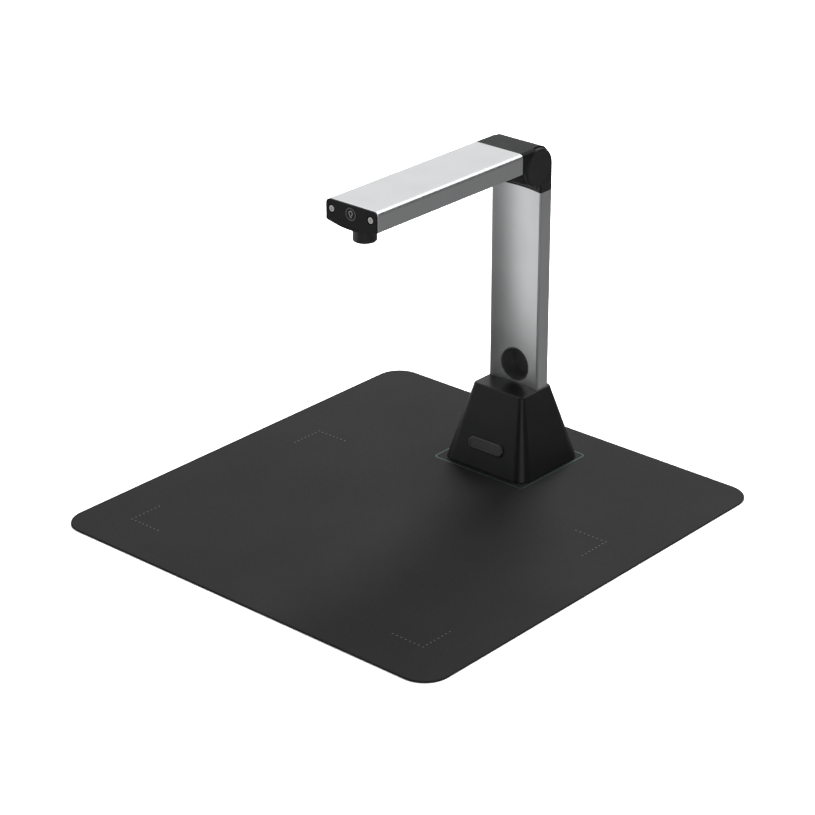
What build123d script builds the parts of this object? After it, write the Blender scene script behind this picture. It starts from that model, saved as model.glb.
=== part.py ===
"""Overhead book scanner: a folding arm with a camera head, on a column and a weighted base, on its mat.

Frame: origin at the centre of the mat's underside, +Z up, +X to the reader's right, -Y to the reader.
The arm is modelled open, level above the mat; it folds down about the hinge axis, which runs along X.
"""
from build123d import *
from math import asin, cos, sin, sqrt
import os

os.makedirs("parts", exist_ok=True)

# ---------------------------------------------------------------- driving dimensions (mm)
MAT_W, MAT_D, MAT_T, MAT_R = 530, 552, 2, 30

AXIS_Y, AXIS_Z = 172.2, 357.3        # hinge axis, parallel to X
FOLD_GAP = 0.5                       # the arm's underside above the hinge axis
COL_OFF = 1.6                        # the column's front behind the hinge axis

SECTION_W = 69.2                     # width of the arm's and the column's extrusion
ARM_TOP = 23.2                       # arm's top above the hinge axis
ARM_EDGE_R = 5.2
ARM_LOW_R = 1.0                      # rounding of the arm's two lower edges
ARM_BELLY = 5.0                      # how far the underside bows down between its corners
ARM_WALL = 1.6
ARM_REACH = 263.4                    # hinge axis to the arm's front face
END_GAP = 29.2                       # hinge axis to the rear end of the arm's extrusion
COL_GAP = 29.7                       # hinge axis to the top of the column's extrusion
FRONT_CHAMFER, REAR_CHAMFER = 0.9, 0.4  # on the arm's cut ends

COL_DEPTH = 23
COL_HOLLOW = 4.8                     # how far the column's front face bows in between its corners
COL_EDGE_R = 6
COL_FRONT_R = 1.8                    # rounding of the column's two front edges
COL_WALL = 1.5
COL_BOTTOM = 26                      # the column stands on its foot, inside the base

CHANNEL_X = 26.7                     # screw channels of both extrusions, from the middle
ARM_CHANNEL, COL_CHANNEL = 13.2, 12.5  # above the hinge axis, and behind the column's front
CHANNEL_R, CHANNEL_BORE = 3.5, 2.0

EAR_R, EAR_T = 22.0, 5.0
KNUCKLE_R = 22.2
KNUCKLE_HALF = SECTION_W / 2 - EAR_T - 0.4
PIN_R = 3

LENS_REACH = 242.5                   # hinge axis to the lens axis
BARREL_R, BARREL_DROP = 12.8, 20.6   # barrel's radius, and its lower end below the hinge axis
DOCK_R = 19.7
DOCK_FLOOR = 21.7                    # dock floor behind the hinge axis's plane

FOOT_H = 1.2                         # rubber feet, below the base
BASE_BOTTOM = MAT_T + FOOT_H
BASE_TOP = 93.3
BASE_LOW = (119, 106, 16)            # width, depth, corner radius
BASE_HIGH = (71.6, 52.5, 5.5)
BASE_LOW_Y, BASE_HIGH_Y = 173.9, 173.25
BASE_TOP_R = 2.0
BASE_WALL = 2.5
PLATE_T = 2
BALLAST_T = 7

CLEAR = 0.1                          # between pieces of one body
PLUG_HALF = CHANNEL_X - CHANNEL_R - 0.5
PLUG_D = 12.6                        # depth of the plugs in the column's ends
SPIGOT = 12                          # how far the end caps plug into the extrusions

# ---------------------------------------------------------------- derived positions
half_w = SECTION_W / 2
col_front = AXIS_Y + COL_OFF
col_back = col_front + COL_DEPTH
col_top = AXIS_Z - COL_GAP
arm_front = AXIS_Y - ARM_REACH
arm_rear = AXIS_Y - END_GAP
arm_low = AXIS_Z + FOLD_GAP
lens_y = AXIS_Y - LENS_REACH
dock_z = AXIS_Z - LENS_REACH
cap_t = 2.4
tube_front = arm_front + cap_t
channel_y = col_front + COL_CHANNEL
plate_top = BASE_BOTTOM + PLATE_T


def finish(part, name):
    """Label a finished piece and write it."""
    part.part.label = name
    export_step(part.part, f"parts/{name}.step")


def facing_front(y, z=0.0):
    """Plane across Y at y, seen from the front: local x = +X, local y = +Z above z, normal -Y."""
    return Plane(origin=(0, y, z), x_dir=(1, 0, 0), z_dir=(0, -1, 0))


def level(z, y=0.0):
    """Plane across Z at height z, local y counted from y."""
    return Plane(origin=(0, y, z), x_dir=(1, 0, 0), z_dir=(0, 0, 1))


def side_on(x):
    """Plane across X at x with its origin on the hinge axis: local x = +Y, local y = +Z."""
    return Plane(origin=(x, AXIS_Y, AXIS_Z), x_dir=(0, 1, 0), z_dir=(1, 0, 0))


def section(depth, inset, bow, edge_r=0.0, near_r=0.0):
    """Section behind a bowed face: straight sides, and a flat far side at a depth.

    The bowed face lies along local x, its middle out by bow; edge_r rounds the two far edges,
    near_r the two beside the bowed face.
    """
    w = half_w - inset
    near = inset if bow > 0 else FOLD_GAP + inset
    with BuildSketch() as outline:
        with BuildLine():
            Polyline((w, near), (w, depth - inset), (-w, depth - inset), (-w, near))
            ThreePointArc((-w, near), (0, near + bow), (w, near))
        make_face()
        if edge_r > inset:
            fillet(outline.vertices().group_by(Axis.Y)[-1], edge_r - inset)
        if near_r > inset:
            fillet([v for v in outline.vertices() if abs(v.Y - near) < 0.01], near_r - inset)
    return outline.sketch


def arm_outline(inset=0.0, edge_r=0.0, near_r=0.0):
    """The arm's section above the hinge axis, with its underside bowed down."""
    return section(ARM_TOP, inset, -ARM_BELLY, edge_r, near_r)


def column_outline(inset=0.0, edge_r=0.0, near_r=0.0):
    """The column's section behind its front plane, with its front face bowed in."""
    return section(COL_DEPTH, inset, COL_HOLLOW, edge_r, near_r)


def channels(inward, mode=Mode.ADD):
    """Screw channels of an extrusion, this far from its hinge face, each joined to its side wall by a rib."""
    with Locations((CHANNEL_X, inward), (-CHANNEL_X, inward)):
        Circle(CHANNEL_R, mode=mode)
    rib = half_w - 1 - CHANNEL_X
    with Locations((CHANNEL_X + rib / 2, inward), (-CHANNEL_X - rib / 2, inward)):
        Rectangle(rib, 2.4, mode=mode)


def countersunk_screw(head_r, shank_r, length, plane, points):
    """Countersunk screws with their heads' faces on a plane, pointing against its normal."""
    head_h = head_r - shank_r
    with BuildPart() as screws:
        with BuildSketch(plane.offset(-head_h)):
            with Locations(*points):
                Circle(shank_r)
        extrude(amount=head_h - length)
        with Locations(*[plane * Pos(x, y, -head_h / 2) for x, y in points]):
            Cone(shank_r, head_r, head_h)
        with BuildSketch(plane):
            with Locations(*points):
                Rectangle(head_r, head_r * 0.22)
                Rectangle(head_r * 0.22, head_r)
        extrude(amount=-head_h * 0.6, mode=Mode.SUBTRACT)
    return screws


def pan_screw(head_r, head_h, shank_r, length, plane, points):
    """Pan-head screws seated on a plane, pointing against its normal."""
    with BuildPart() as screws:
        with BuildSketch(plane):
            with Locations(*points):
                Circle(head_r)
        extrude(amount=head_h)
        rims = screws.edges().filter_by(GeomType.CIRCLE).sort_by(Axis(plane.origin, plane.z_dir))
        fillet(rims[-len(points):], head_h * 0.45)
        with BuildSketch(plane.offset(head_h)):
            with Locations(*points):
                Rectangle(head_r * 1.1, head_r * 0.22)
                Rectangle(head_r * 0.22, head_r * 1.1)
        extrude(amount=-head_h * 0.5, mode=Mode.SUBTRACT)
        with BuildSketch(plane):
            with Locations(*points):
                Circle(shank_r)
        extrude(amount=-length)
    return screws


# ---------------------------------------------------------------- mat
with BuildPart() as scan_mat:
    with BuildSketch():
        RectangleRounded(MAT_W, MAT_D, MAT_R)
    extrude(amount=MAT_T)
    chamfer(scan_mat.edges().group_by(Axis.Z)[-1], 0.5)
finish(scan_mat, "scan_mat")


# ---------------------------------------------------------------- base
def base_block(low_z, high_z, inset):
    """Solid pyramid with rounded corners between two heights, inset from the base's outer skin."""
    with BuildPart() as block:
        for z in (low_z, high_z):
            t = (z - BASE_BOTTOM) / (BASE_TOP - BASE_BOTTOM)
            w, d, r = (a + (b - a) * t for a, b in zip(BASE_LOW, BASE_HIGH))
            with BuildSketch(level(z, BASE_LOW_Y + (BASE_HIGH_Y - BASE_LOW_Y) * t)):
                RectangleRounded(w - 2 * inset, d - 2 * inset, max(r - inset, 0.8))
        loft()
    return block.part


front_slope = (BASE_LOW[1] - BASE_HIGH[1]) / 2 + BASE_HIGH_Y - BASE_LOW_Y
rear_slope = (BASE_LOW[1] - BASE_HIGH[1]) / 2 - BASE_HIGH_Y + BASE_LOW_Y
base_h = BASE_TOP - BASE_BOTTOM


def base_front_y(z):
    """Where the base's front face stands at a height."""
    return BASE_LOW_Y - BASE_LOW[1] / 2 + front_slope * (z - BASE_BOTTOM) / base_h


def base_rear_y(z):
    """Where the base's rear face stands at a height."""
    return BASE_LOW_Y + BASE_LOW[1] / 2 - rear_slope * (z - BASE_BOTTOM) / base_h


BADGE_Z, BADGE_W, BADGE_H, BADGE_SINK, BADGE_PROUD = 29.8, 50, 14.2, 0.8, 2.2
BADGE_EDGE_R = 1.4
BADGE_RIM, BADGE_FIELD = 3.0, 0.5    # width of the rim, and how deep the field lies inside it
badge_plane = Plane(
    origin=(0, base_front_y(BADGE_Z), BADGE_Z),
    x_dir=(1, 0, 0),
    z_dir=Vector(0, -base_h, front_slope).normalized(),
)

corner_screws = [(sx * 47.5, BASE_LOW_Y + sy * 39.5) for sx in (-1, 1) for sy in (-1, 1)]
POST_H = 12                          # screw posts in the housing's corners
foot_points = [(sx * 44, BASE_LOW_Y + sy * 26) for sx in (-1, 1) for sy in (-1, 1)]
column_bolts_at = [(sx * CHANNEL_X, channel_y) for sx in (-1, 1)]
SOCKET_Z, SOCKET_W, SOCKET_H = 20.5, 9.0, 3.3
SOCKET_DEPTH = 7.5

with BuildPart() as base_housing:
    add(base_block(BASE_BOTTOM, BASE_TOP, 0))
    fillet(base_housing.edges().group_by(Axis.Z)[-1], BASE_TOP_R)
    add(base_block(BASE_BOTTOM - 0.5, BASE_TOP - 3, BASE_WALL), mode=Mode.SUBTRACT)
    with BuildSketch(level(BASE_BOTTOM + PLATE_T + CLEAR)):
        with Locations(*corner_screws):
            Circle(4)
    extrude(amount=POST_H)
    with BuildSketch(level(BASE_BOTTOM + PLATE_T)):
        with Locations(*corner_screws):
            Circle(1.55)
    extrude(amount=POST_H - 1.2, mode=Mode.SUBTRACT)
    with BuildSketch(level(BASE_TOP - 22, col_front)):
        add(column_outline(inset=-0.4, edge_r=COL_EDGE_R, near_r=COL_FRONT_R))
    extrude(amount=23, mode=Mode.SUBTRACT)
    with BuildSketch(badge_plane):
        SlotOverall(BADGE_W + 0.2, BADGE_H + 0.2)
    extrude(amount=-BADGE_SINK, mode=Mode.SUBTRACT)
    with BuildSketch(facing_front(base_rear_y(SOCKET_Z) + 3, SOCKET_Z)):
        RectangleRounded(SOCKET_W + 0.6, SOCKET_H + 0.6, 1.8)
    extrude(amount=10, mode=Mode.SUBTRACT)
finish(base_housing, "base_housing")

with BuildPart() as badge_plate:
    with BuildSketch(badge_plane.offset(-BADGE_SINK)):
        SlotOverall(BADGE_W, BADGE_H)
    extrude(amount=BADGE_SINK + BADGE_PROUD)
    rim = badge_plate.edges().group_by(Axis(badge_plane.origin, badge_plane.z_dir))[-1]
    fillet(rim, BADGE_EDGE_R)
    with BuildSketch(badge_plane.offset(BADGE_PROUD)):
        SlotOverall(BADGE_W - 2 * BADGE_RIM, BADGE_H - 2 * BADGE_RIM)
    extrude(amount=-BADGE_FIELD, mode=Mode.SUBTRACT)
finish(badge_plate, "badge_plate")

with BuildPart() as base_plate:
    with BuildSketch(level(BASE_BOTTOM, BASE_LOW_Y)):
        inner = 2 * (BASE_WALL + 0.8)
        RectangleRounded(BASE_LOW[0] - inner, BASE_LOW[1] - inner, BASE_LOW[2] - BASE_WALL)
    extrude(amount=PLATE_T)
    for points, head_r in ((corner_screws, 3.2), (column_bolts_at, 4.0)):
        with Locations(*[Pos(x, y, BASE_BOTTOM + 0.9) for x, y in points]):
            Cone(head_r + 0.1, head_r - 1.7, 1.8, mode=Mode.SUBTRACT)
        with Locations(*[Pos(x, y, BASE_BOTTOM) for x, y in points]):
            Cylinder(head_r - 1.6, 3 * PLATE_T, mode=Mode.SUBTRACT)
    with Locations(*[Pos(x, y, BASE_BOTTOM + 0.25) for x, y in foot_points]):
        Cylinder(7.1, 0.5, mode=Mode.SUBTRACT)
finish(base_plate, "base_plate")

with BuildPart() as rubber_feet:
    with Locations(*[Pos(x, y, MAT_T + (FOOT_H + 0.5) / 2) for x, y in foot_points]):
        Cylinder(7, FOOT_H + 0.5)
    chamfer(rubber_feet.edges().group_by(Axis.Z)[0], 0.3)
finish(rubber_feet, "rubber_feet")

underside = Plane(origin=(0, 0, BASE_BOTTOM), x_dir=(1, 0, 0), z_dir=(0, 0, -1))


def from_below(points):
    """Points of the XY plane as they lie on the underside's plane."""
    return [(x, -y) for x, y in points]


base_screws = countersunk_screw(3.2, 1.5, 12, underside, from_below(corner_screws))
finish(base_screws, "base_screws")

column_bolts = countersunk_screw(4.0, 1.95, 44, underside, from_below(column_bolts_at))
finish(column_bolts, "column_bolts")

# ---------------------------------------------------------------- ballast and the column's foot
LEG_W, LEG_D = 12, 16
leg_points = [(sx * (half_w - LEG_W / 2), channel_y) for sx in (-1, 1)]

with BuildPart() as ballast_plate:
    with BuildSketch(level(plate_top + 0.05, BASE_LOW_Y)):
        RectangleRounded(88, 74, 4)
        with Locations(*[(x, y - BASE_LOW_Y) for x, y in leg_points]):
            Rectangle(LEG_W + 2, LEG_D + 2, mode=Mode.SUBTRACT)
    extrude(amount=BALLAST_T)
    chamfer(ballast_plate.faces().sort_by(Axis.Z)[-1].outer_wire().edges(), 0.6)
finish(ballast_plate, "ballast_plate")

CABLE_R = 1.4
cable_y = col_front + 12.5
with BuildPart() as column_foot:
    with BuildSketch(level(COL_BOTTOM - 4, col_front)):
        add(column_outline(inset=0.3, edge_r=COL_EDGE_R, near_r=COL_FRONT_R))
    extrude(amount=4)
    with BuildSketch(level(plate_top)):
        with Locations(*leg_points):
            Rectangle(LEG_W, LEG_D)
    extrude(amount=COL_BOTTOM - 4 - plate_top)
    with BuildSketch(level(COL_BOTTOM, channel_y + 0.6)):
        Rectangle(2 * PLUG_HALF, PLUG_D)
    extrude(amount=14)
    with Locations(*[Pos(x, y, 15) for x, y in column_bolts_at]):
        Cylinder(2.05, 60, mode=Mode.SUBTRACT)
    with Locations(Pos(12, cable_y, 30)):
        Box(6, 8, 40, mode=Mode.SUBTRACT)
finish(column_foot, "column_foot")

# ---------------------------------------------------------------- control board
BOARD_T = 1.6
board_low = SOCKET_Z - SOCKET_H / 2 - BOARD_T
socket_mouth = base_rear_y(SOCKET_Z) - 1.2
board_front, board_rear = col_back + 2, base_rear_y(board_low) - BASE_WALL - 0.8
board_mid, board_d = (board_front + board_rear) / 2, board_rear - board_front
board_screws_at = [(sx * 27, board_mid) for sx in (-1, 1)]

with BuildPart() as control_board:
    with BuildSketch(level(board_low)):
        with Locations((0, board_mid)):
            Rectangle(62, board_d)
        with Locations(*board_screws_at):
            Circle(1.7, mode=Mode.SUBTRACT)
    extrude(amount=BOARD_T)
finish(control_board, "control_board")

with BuildPart() as board_posts:
    post_low = plate_top + 0.05 + BALLAST_T
    with BuildSketch(level(post_low)):
        with Locations(*board_screws_at):
            Circle(3)
            Circle(1.6, mode=Mode.SUBTRACT)
    extrude(amount=board_low - post_low)
finish(board_posts, "board_posts")

with BuildPart() as control_chips:
    chip_z = board_low + BOARD_T
    with BuildSketch(level(chip_z)):
        with Locations((-13, board_mid)):
            Rectangle(9, 9)
    extrude(amount=1.2)
    with BuildSketch(level(chip_z)):
        with Locations((-21, board_mid + 2)):
            Rectangle(4, 6)
    extrude(amount=1.6)
    with BuildSketch(level(chip_z)):
        with Locations((20, board_mid - 3)):
            Circle(2.5)
    extrude(amount=6)
    with BuildSketch(level(chip_z)):
        with Locations((12, board_mid - 5.5)):
            Rectangle(8, 5)
    extrude(amount=4)
finish(control_chips, "control_chips")

board_screws = pan_screw(
    2.6, 1.6, 1.45, BOARD_T + 3, level(board_low + BOARD_T), board_screws_at
)
finish(board_screws, "board_screws")

with BuildPart() as usb_socket:
    with BuildSketch(facing_front(socket_mouth, SOCKET_Z)):
        RectangleRounded(SOCKET_W, SOCKET_H, 1.5)
    extrude(amount=SOCKET_DEPTH)
    with BuildSketch(facing_front(socket_mouth, SOCKET_Z)):
        RectangleRounded(SOCKET_W - 0.7, SOCKET_H - 0.7, 1.2)
        Rectangle(SOCKET_W - 2.6, 0.7, mode=Mode.SUBTRACT)
    extrude(amount=SOCKET_DEPTH - 1.4, mode=Mode.SUBTRACT)
finish(usb_socket, "usb_socket")

# ---------------------------------------------------------------- column
with BuildPart() as column_tube:
    with BuildSketch(level(COL_BOTTOM, col_front)):
        add(column_outline(edge_r=COL_EDGE_R, near_r=COL_FRONT_R))
    extrude(amount=col_top - COL_BOTTOM)
    with BuildSketch(level(COL_BOTTOM, col_front)):
        add(column_outline(inset=COL_WALL, edge_r=COL_EDGE_R, near_r=COL_FRONT_R))
        channels(COL_CHANNEL, mode=Mode.SUBTRACT)
    extrude(amount=col_top - COL_BOTTOM, mode=Mode.SUBTRACT)
    with BuildSketch(level(COL_BOTTOM, col_front)):
        with Locations((CHANNEL_X, COL_CHANNEL), (-CHANNEL_X, COL_CHANNEL)):
            Circle(CHANNEL_BORE)
    extrude(amount=col_top - COL_BOTTOM, mode=Mode.SUBTRACT)
    with BuildSketch(facing_front(col_front + COL_DEPTH / 2, dock_z)):
        Circle(DOCK_R + CLEAR)
    extrude(amount=COL_DEPTH, mode=Mode.SUBTRACT)
finish(column_tube, "column_tube")

RIM_PROUD = 0.4
CUP_FLOOR_R, CUP_BEND_R = 14.6, 16.4
with BuildPart() as dock_cup:
    with BuildSketch(Plane.YZ):
        floor_y = AXIS_Y + DOCK_FLOOR
        with BuildLine():
            Polyline(
                (floor_y, dock_z),
                (floor_y, dock_z + CUP_FLOOR_R),
            )
            ThreePointArc(
                (floor_y, dock_z + CUP_FLOOR_R),
                (floor_y - 4.6, dock_z + CUP_BEND_R),
                (col_front + 1, dock_z + DOCK_R - 1.2),
            )
            Polyline(
                (col_front + 1, dock_z + DOCK_R - 1.2),
                (col_front + 1, dock_z + DOCK_R),
                (floor_y - 6, dock_z + DOCK_R),
                (floor_y + 0.8, dock_z + CUP_BEND_R),
                (floor_y + 0.8, dock_z),
                (floor_y, dock_z),
            )
        make_face()
    revolve(axis=Axis((0, 0, dock_z), (0, 1, 0)))
    with BuildSketch(level(dock_z - 25, col_front)):
        add(column_outline(inset=-RIM_PROUD))
    extrude(amount=50, mode=Mode.INTERSECT)
finish(dock_cup, "dock_cup")

# ---------------------------------------------------------------- hinge end of the column
SADDLE_R = KNUCKLE_R + 0.4
SADDLE_HALF = half_w - EAR_T
WEB = 1.8                            # ear wall under the pin's head and nut
COVER_R, COVER_T = 19.6, 1.2
POCKET_R = 9
cap_screws_at = [(sx * CHANNEL_X, COL_CHANNEL) for sx in (-1, 1)]
cap_seat = col_top + 4.8

EAR_ROUND = 2.0


def ear_disc():
    """Disc on the hinge axis as wide as the column, with both rims rounded."""
    with BuildPart() as disc:
        with BuildSketch(side_on(-half_w)):
            Circle(EAR_R)
        extrude(amount=SECTION_W)
        fillet(disc.edges().filter_by(GeomType.CIRCLE), EAR_ROUND)
    return disc.part


with BuildPart() as column_cap:
    with BuildSketch(level(col_top, col_front)):
        add(column_outline(edge_r=COL_EDGE_R, near_r=COL_FRONT_R))
    extrude(amount=COL_GAP)
    add(ear_disc())
    with BuildSketch(side_on(-SADDLE_HALF)):
        Circle(SADDLE_R)
        with Locations((0, SADDLE_R / 2 - 6)):
            Rectangle(4 * SADDLE_R, SADDLE_R)
    extrude(amount=2 * SADDLE_HALF, mode=Mode.SUBTRACT)
    with BuildSketch(side_on(-SADDLE_HALF)):
        with BuildLine():
            Polyline((-6, -24), (-6, -28), (0.6, -28), (10, -20), (0, -18), (-6, -24))
        make_face()
    extrude(amount=2 * SADDLE_HALF, mode=Mode.SUBTRACT)
    with BuildSketch(level(col_top, channel_y + 0.6)):
        Rectangle(2 * PLUG_HALF, PLUG_D)
    extrude(amount=-SPIGOT)
    for side in (-1, 1):
        with Locations(Pos(side * (half_w - COVER_T / 2), AXIS_Y, AXIS_Z) * Rot(0, 90, 0)):
            Cylinder(COVER_R + 0.08, COVER_T, mode=Mode.SUBTRACT)
        deep = EAR_T - WEB
        with Locations(Pos(side * (half_w - deep / 2), AXIS_Y, AXIS_Z) * Rot(0, 90, 0)):
            Cylinder(POCKET_R, deep, mode=Mode.SUBTRACT)
    with Locations(Pos(0, AXIS_Y, AXIS_Z) * Rot(0, 90, 0)):
        Cylinder(PIN_R + 0.04, SECTION_W, mode=Mode.SUBTRACT)
    with BuildSketch(level(col_top, col_front)):
        with Locations(*cap_screws_at):
            Circle(2.15)
    extrude(amount=COL_GAP, mode=Mode.SUBTRACT)
    with BuildSketch(level(cap_seat, col_front)):
        with Locations(*cap_screws_at):
            Circle(4.2)
    extrude(amount=COL_GAP, mode=Mode.SUBTRACT)
    with Locations(Pos(0, cable_y, AXIS_Z - 30)):
        Box(9, 7, 40, mode=Mode.SUBTRACT)
finish(column_cap, "column_cap")

column_cap_screws = pan_screw(3.8, 2.2, 1.95, 16, level(cap_seat, col_front), cap_screws_at)
finish(column_cap_screws, "column_cap_screws")

for side, name in ((-1, "hinge_cover_left"), (1, "hinge_cover_right")):
    with BuildPart() as hinge_cover:
        with BuildSketch(side_on(side * half_w)):
            Circle(COVER_R)
        extrude(amount=-side * COVER_T)
        outer_edge = hinge_cover.edges().filter_by(GeomType.CIRCLE).sort_by(Axis.X)[::side][-1]
        fillet(outer_edge, 0.35)
    finish(hinge_cover, name)

pin_head_x = half_w - EAR_T + WEB
with BuildPart() as hinge_pin:
    with BuildSketch(side_on(-pin_head_x - 1.9)):
        Circle(PIN_R)
    extrude(amount=2 * pin_head_x + 1.9)
    with BuildSketch(side_on(pin_head_x)):
        Circle(6)
    extrude(amount=1.7)
    chamfer(hinge_pin.edges().filter_by(GeomType.CIRCLE).sort_by(Axis.X)[-1], 0.4)
    with BuildSketch(side_on(pin_head_x + 1.7)):
        RegularPolygon(2.4, 6)
    extrude(amount=-1.1, mode=Mode.SUBTRACT)
finish(hinge_pin, "hinge_pin")

with BuildPart() as hinge_nut:
    with BuildSketch(side_on(-pin_head_x)):
        RegularPolygon(5.5, 6)
        Circle(PIN_R + 0.03, mode=Mode.SUBTRACT)
    extrude(amount=-1.8)
finish(hinge_nut, "hinge_nut")

WASHER_R, WASHER_SINK = 9.0, 1.6
with BuildPart() as friction_washers:
    for side in (-1, 1):
        with BuildSketch(side_on(side * (SADDLE_HALF - 0.02))):
            Circle(WASHER_R)
            Circle(PIN_R + 0.1, mode=Mode.SUBTRACT)
        extrude(amount=-side * (WASHER_SINK + 0.3))
finish(friction_washers, "friction_washers")

with BuildPart() as column_cable:
    with BuildLine() as column_route:
        FilletPolyline(
            (12, board_front - 0.1, board_low + BOARD_T + 1.7),
            (12, cable_y, board_low + BOARD_T + 1.7),
            (12, cable_y, 58),
            (DOCK_R + 1.9, cable_y, 74),
            (DOCK_R + 1.9, cable_y, 292),
            (0, cable_y, 312),
            (0, cable_y, AXIS_Z - SADDLE_R - 1),
            radius=4,
        )
    with BuildSketch(column_route.line ^ 0):
        Circle(CABLE_R)
    sweep()
finish(column_cable, "column_cable")

# ---------------------------------------------------------------- arm
barrel_at = (0, lens_y)
LED_Y, LED_W, LED_L = lens_y + 26, 8, 46
rear_screws_at = [(sx * 15, -(arm_rear - 7)) for sx in (-1, 1)]

with BuildPart() as arm_tube:
    with BuildSketch(facing_front(arm_rear, AXIS_Z)):
        add(arm_outline(edge_r=ARM_EDGE_R, near_r=ARM_LOW_R))
    extrude(amount=arm_rear - tube_front)
    chamfer(arm_tube.edges().group_by(Axis.Y)[0], FRONT_CHAMFER)
    chamfer(arm_tube.edges().group_by(Axis.Y)[-1], REAR_CHAMFER)
    with BuildSketch(facing_front(arm_rear, AXIS_Z)):
        add(arm_outline(inset=ARM_WALL, edge_r=ARM_EDGE_R))
        channels(ARM_CHANNEL, mode=Mode.SUBTRACT)
    extrude(amount=arm_rear - tube_front, mode=Mode.SUBTRACT)
    with BuildSketch(facing_front(arm_rear, AXIS_Z)):
        with Locations((CHANNEL_X, ARM_CHANNEL), (-CHANNEL_X, ARM_CHANNEL)):
            Circle(CHANNEL_BORE)
    extrude(amount=arm_rear - tube_front, mode=Mode.SUBTRACT)
    with BuildSketch(level(AXIS_Z - 8)):
        with Locations(barrel_at):
            Circle(BARREL_R + CLEAR)
        with Locations((0, LED_Y)):
            RectangleRounded(LED_L + 0.2, LED_W + 0.2, 3)
        with Locations(*[(x, -y) for x, y in rear_screws_at]):
            Circle(1.6)
    extrude(amount=14, mode=Mode.SUBTRACT)
finish(arm_tube, "arm_tube")

LIP_END = -6                         # the lip over each ear ends this far behind the hinge axis
LIP_GAP = 0.6
with BuildPart() as arm_rear_cap:
    with BuildSketch(side_on(-half_w)):
        back_r = ARM_TOP - 4
        back_y = KNUCKLE_R - back_r
        bend = back_r * sqrt(0.5)
        with BuildLine():
            Polyline((-END_GAP, FOLD_GAP), (-END_GAP, ARM_TOP), (back_y, ARM_TOP))
            ThreePointArc((back_y, ARM_TOP), (back_y + bend, 4 + bend), (KNUCKLE_R, 4))
            Line((KNUCKLE_R, 4), (KNUCKLE_R, 0))
            ThreePointArc((KNUCKLE_R, 0), (0, -KNUCKLE_R), (-KNUCKLE_R, 0))
            Polyline((-KNUCKLE_R, 0), (-KNUCKLE_R, FOLD_GAP), (-END_GAP, FOLD_GAP))
        make_face()
    extrude(amount=SECTION_W)
    ridge = arm_rear_cap.edges().filter_by(
        lambda e: abs(abs(e.center().X) - half_w) < 0.01 and e.center().Z > AXIS_Z + 12
        and e.center().Y > arm_rear + 1
    )
    fillet(ridge, ARM_EDGE_R)
    with BuildSketch(facing_front(AXIS_Y - KNUCKLE_R + 1.5, AXIS_Z)):
        with BuildLine():
            Line((-KNUCKLE_HALF, FOLD_GAP + 1), (KNUCKLE_HALF, FOLD_GAP + 1))
            neck = FOLD_GAP + 0.2 - ARM_BELLY
            neck_side = neck + ARM_BELLY * (KNUCKLE_HALF / half_w) ** 2
            Line((KNUCKLE_HALF, FOLD_GAP + 1), (KNUCKLE_HALF, neck_side))
            ThreePointArc((KNUCKLE_HALF, neck_side), (0, neck), (-KNUCKLE_HALF, neck_side))
            Line((-KNUCKLE_HALF, neck_side), (-KNUCKLE_HALF, FOLD_GAP + 1))
        make_face()
    extrude(amount=4)
    with BuildSketch(facing_front(AXIS_Y - KNUCKLE_R - 1, AXIS_Z)):
        add(arm_outline())
        with Locations((0, ARM_TOP)):
            Rectangle(3 * half_w, 2 * (ARM_TOP - FOLD_GAP - 1), mode=Mode.SUBTRACT)
    extrude(amount=END_GAP - KNUCKLE_R - 1)
    for side in (-1, 1):
        outside = side * (KNUCKLE_HALF + half_w + 1) / 2
        outside_w = half_w + 1 - KNUCKLE_HALF
        with Locations(Pos(outside, AXIS_Y, AXIS_Z) * Rot(0, 90, 0)):
            Cylinder(EAR_R + LIP_GAP, outside_w, mode=Mode.SUBTRACT)
        with Locations(Pos(outside, AXIS_Y + LIP_END + 20, AXIS_Z)):
            Box(outside_w, 40, 60, mode=Mode.SUBTRACT)
        with Locations(Pos(outside, AXIS_Y, AXIS_Z - 30)):
            Box(outside_w, 2 * KNUCKLE_R, 60, mode=Mode.SUBTRACT)
    with BuildSketch(facing_front(arm_rear, AXIS_Z)):
        with Locations((0, (ARM_TOP - ARM_WALL + FOLD_GAP + ARM_WALL) / 2 - 0.3)):
            Rectangle(2 * PLUG_HALF, ARM_TOP - FOLD_GAP - 2 * ARM_WALL - 1)
    extrude(amount=SPIGOT)
    with Locations(Pos(0, AXIS_Y, AXIS_Z) * Rot(0, 90, 0)):
        Cylinder(PIN_R + 0.8, SECTION_W, mode=Mode.SUBTRACT)
    for side in (-1, 1):
        with Locations(Pos(side * (KNUCKLE_HALF - 6), AXIS_Y, AXIS_Z) * Rot(0, 90, 0)):
            Cylinder(5.02, 12, mode=Mode.SUBTRACT)
        with Locations(Pos(side * (KNUCKLE_HALF - WASHER_SINK / 2), AXIS_Y, AXIS_Z) * Rot(0, 90, 0)):
            Cylinder(WASHER_R + 0.3, WASHER_SINK, mode=Mode.SUBTRACT)
    with Locations(Pos(0, arm_rear + 5, AXIS_Z + 12)):
        Box(40, 2 * SPIGOT + 14, 13, mode=Mode.SUBTRACT)
    with BuildSketch(level(AXIS_Z - 8)):
        with Locations(*[(x, -y) for x, y in rear_screws_at]):
            Circle(1.25)
    extrude(amount=18, mode=Mode.SUBTRACT)
finish(arm_rear_cap, "arm_rear_cap")

BUSH_R = 5
with BuildPart() as hinge_bushes:
    for side in (-1, 1):
        with BuildSketch(side_on(side * (KNUCKLE_HALF - WASHER_SINK))):
            Circle(BUSH_R)
            Circle(PIN_R + 0.05, mode=Mode.SUBTRACT)
        extrude(amount=-side * 10.3)
finish(hinge_bushes, "hinge_bushes")

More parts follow.
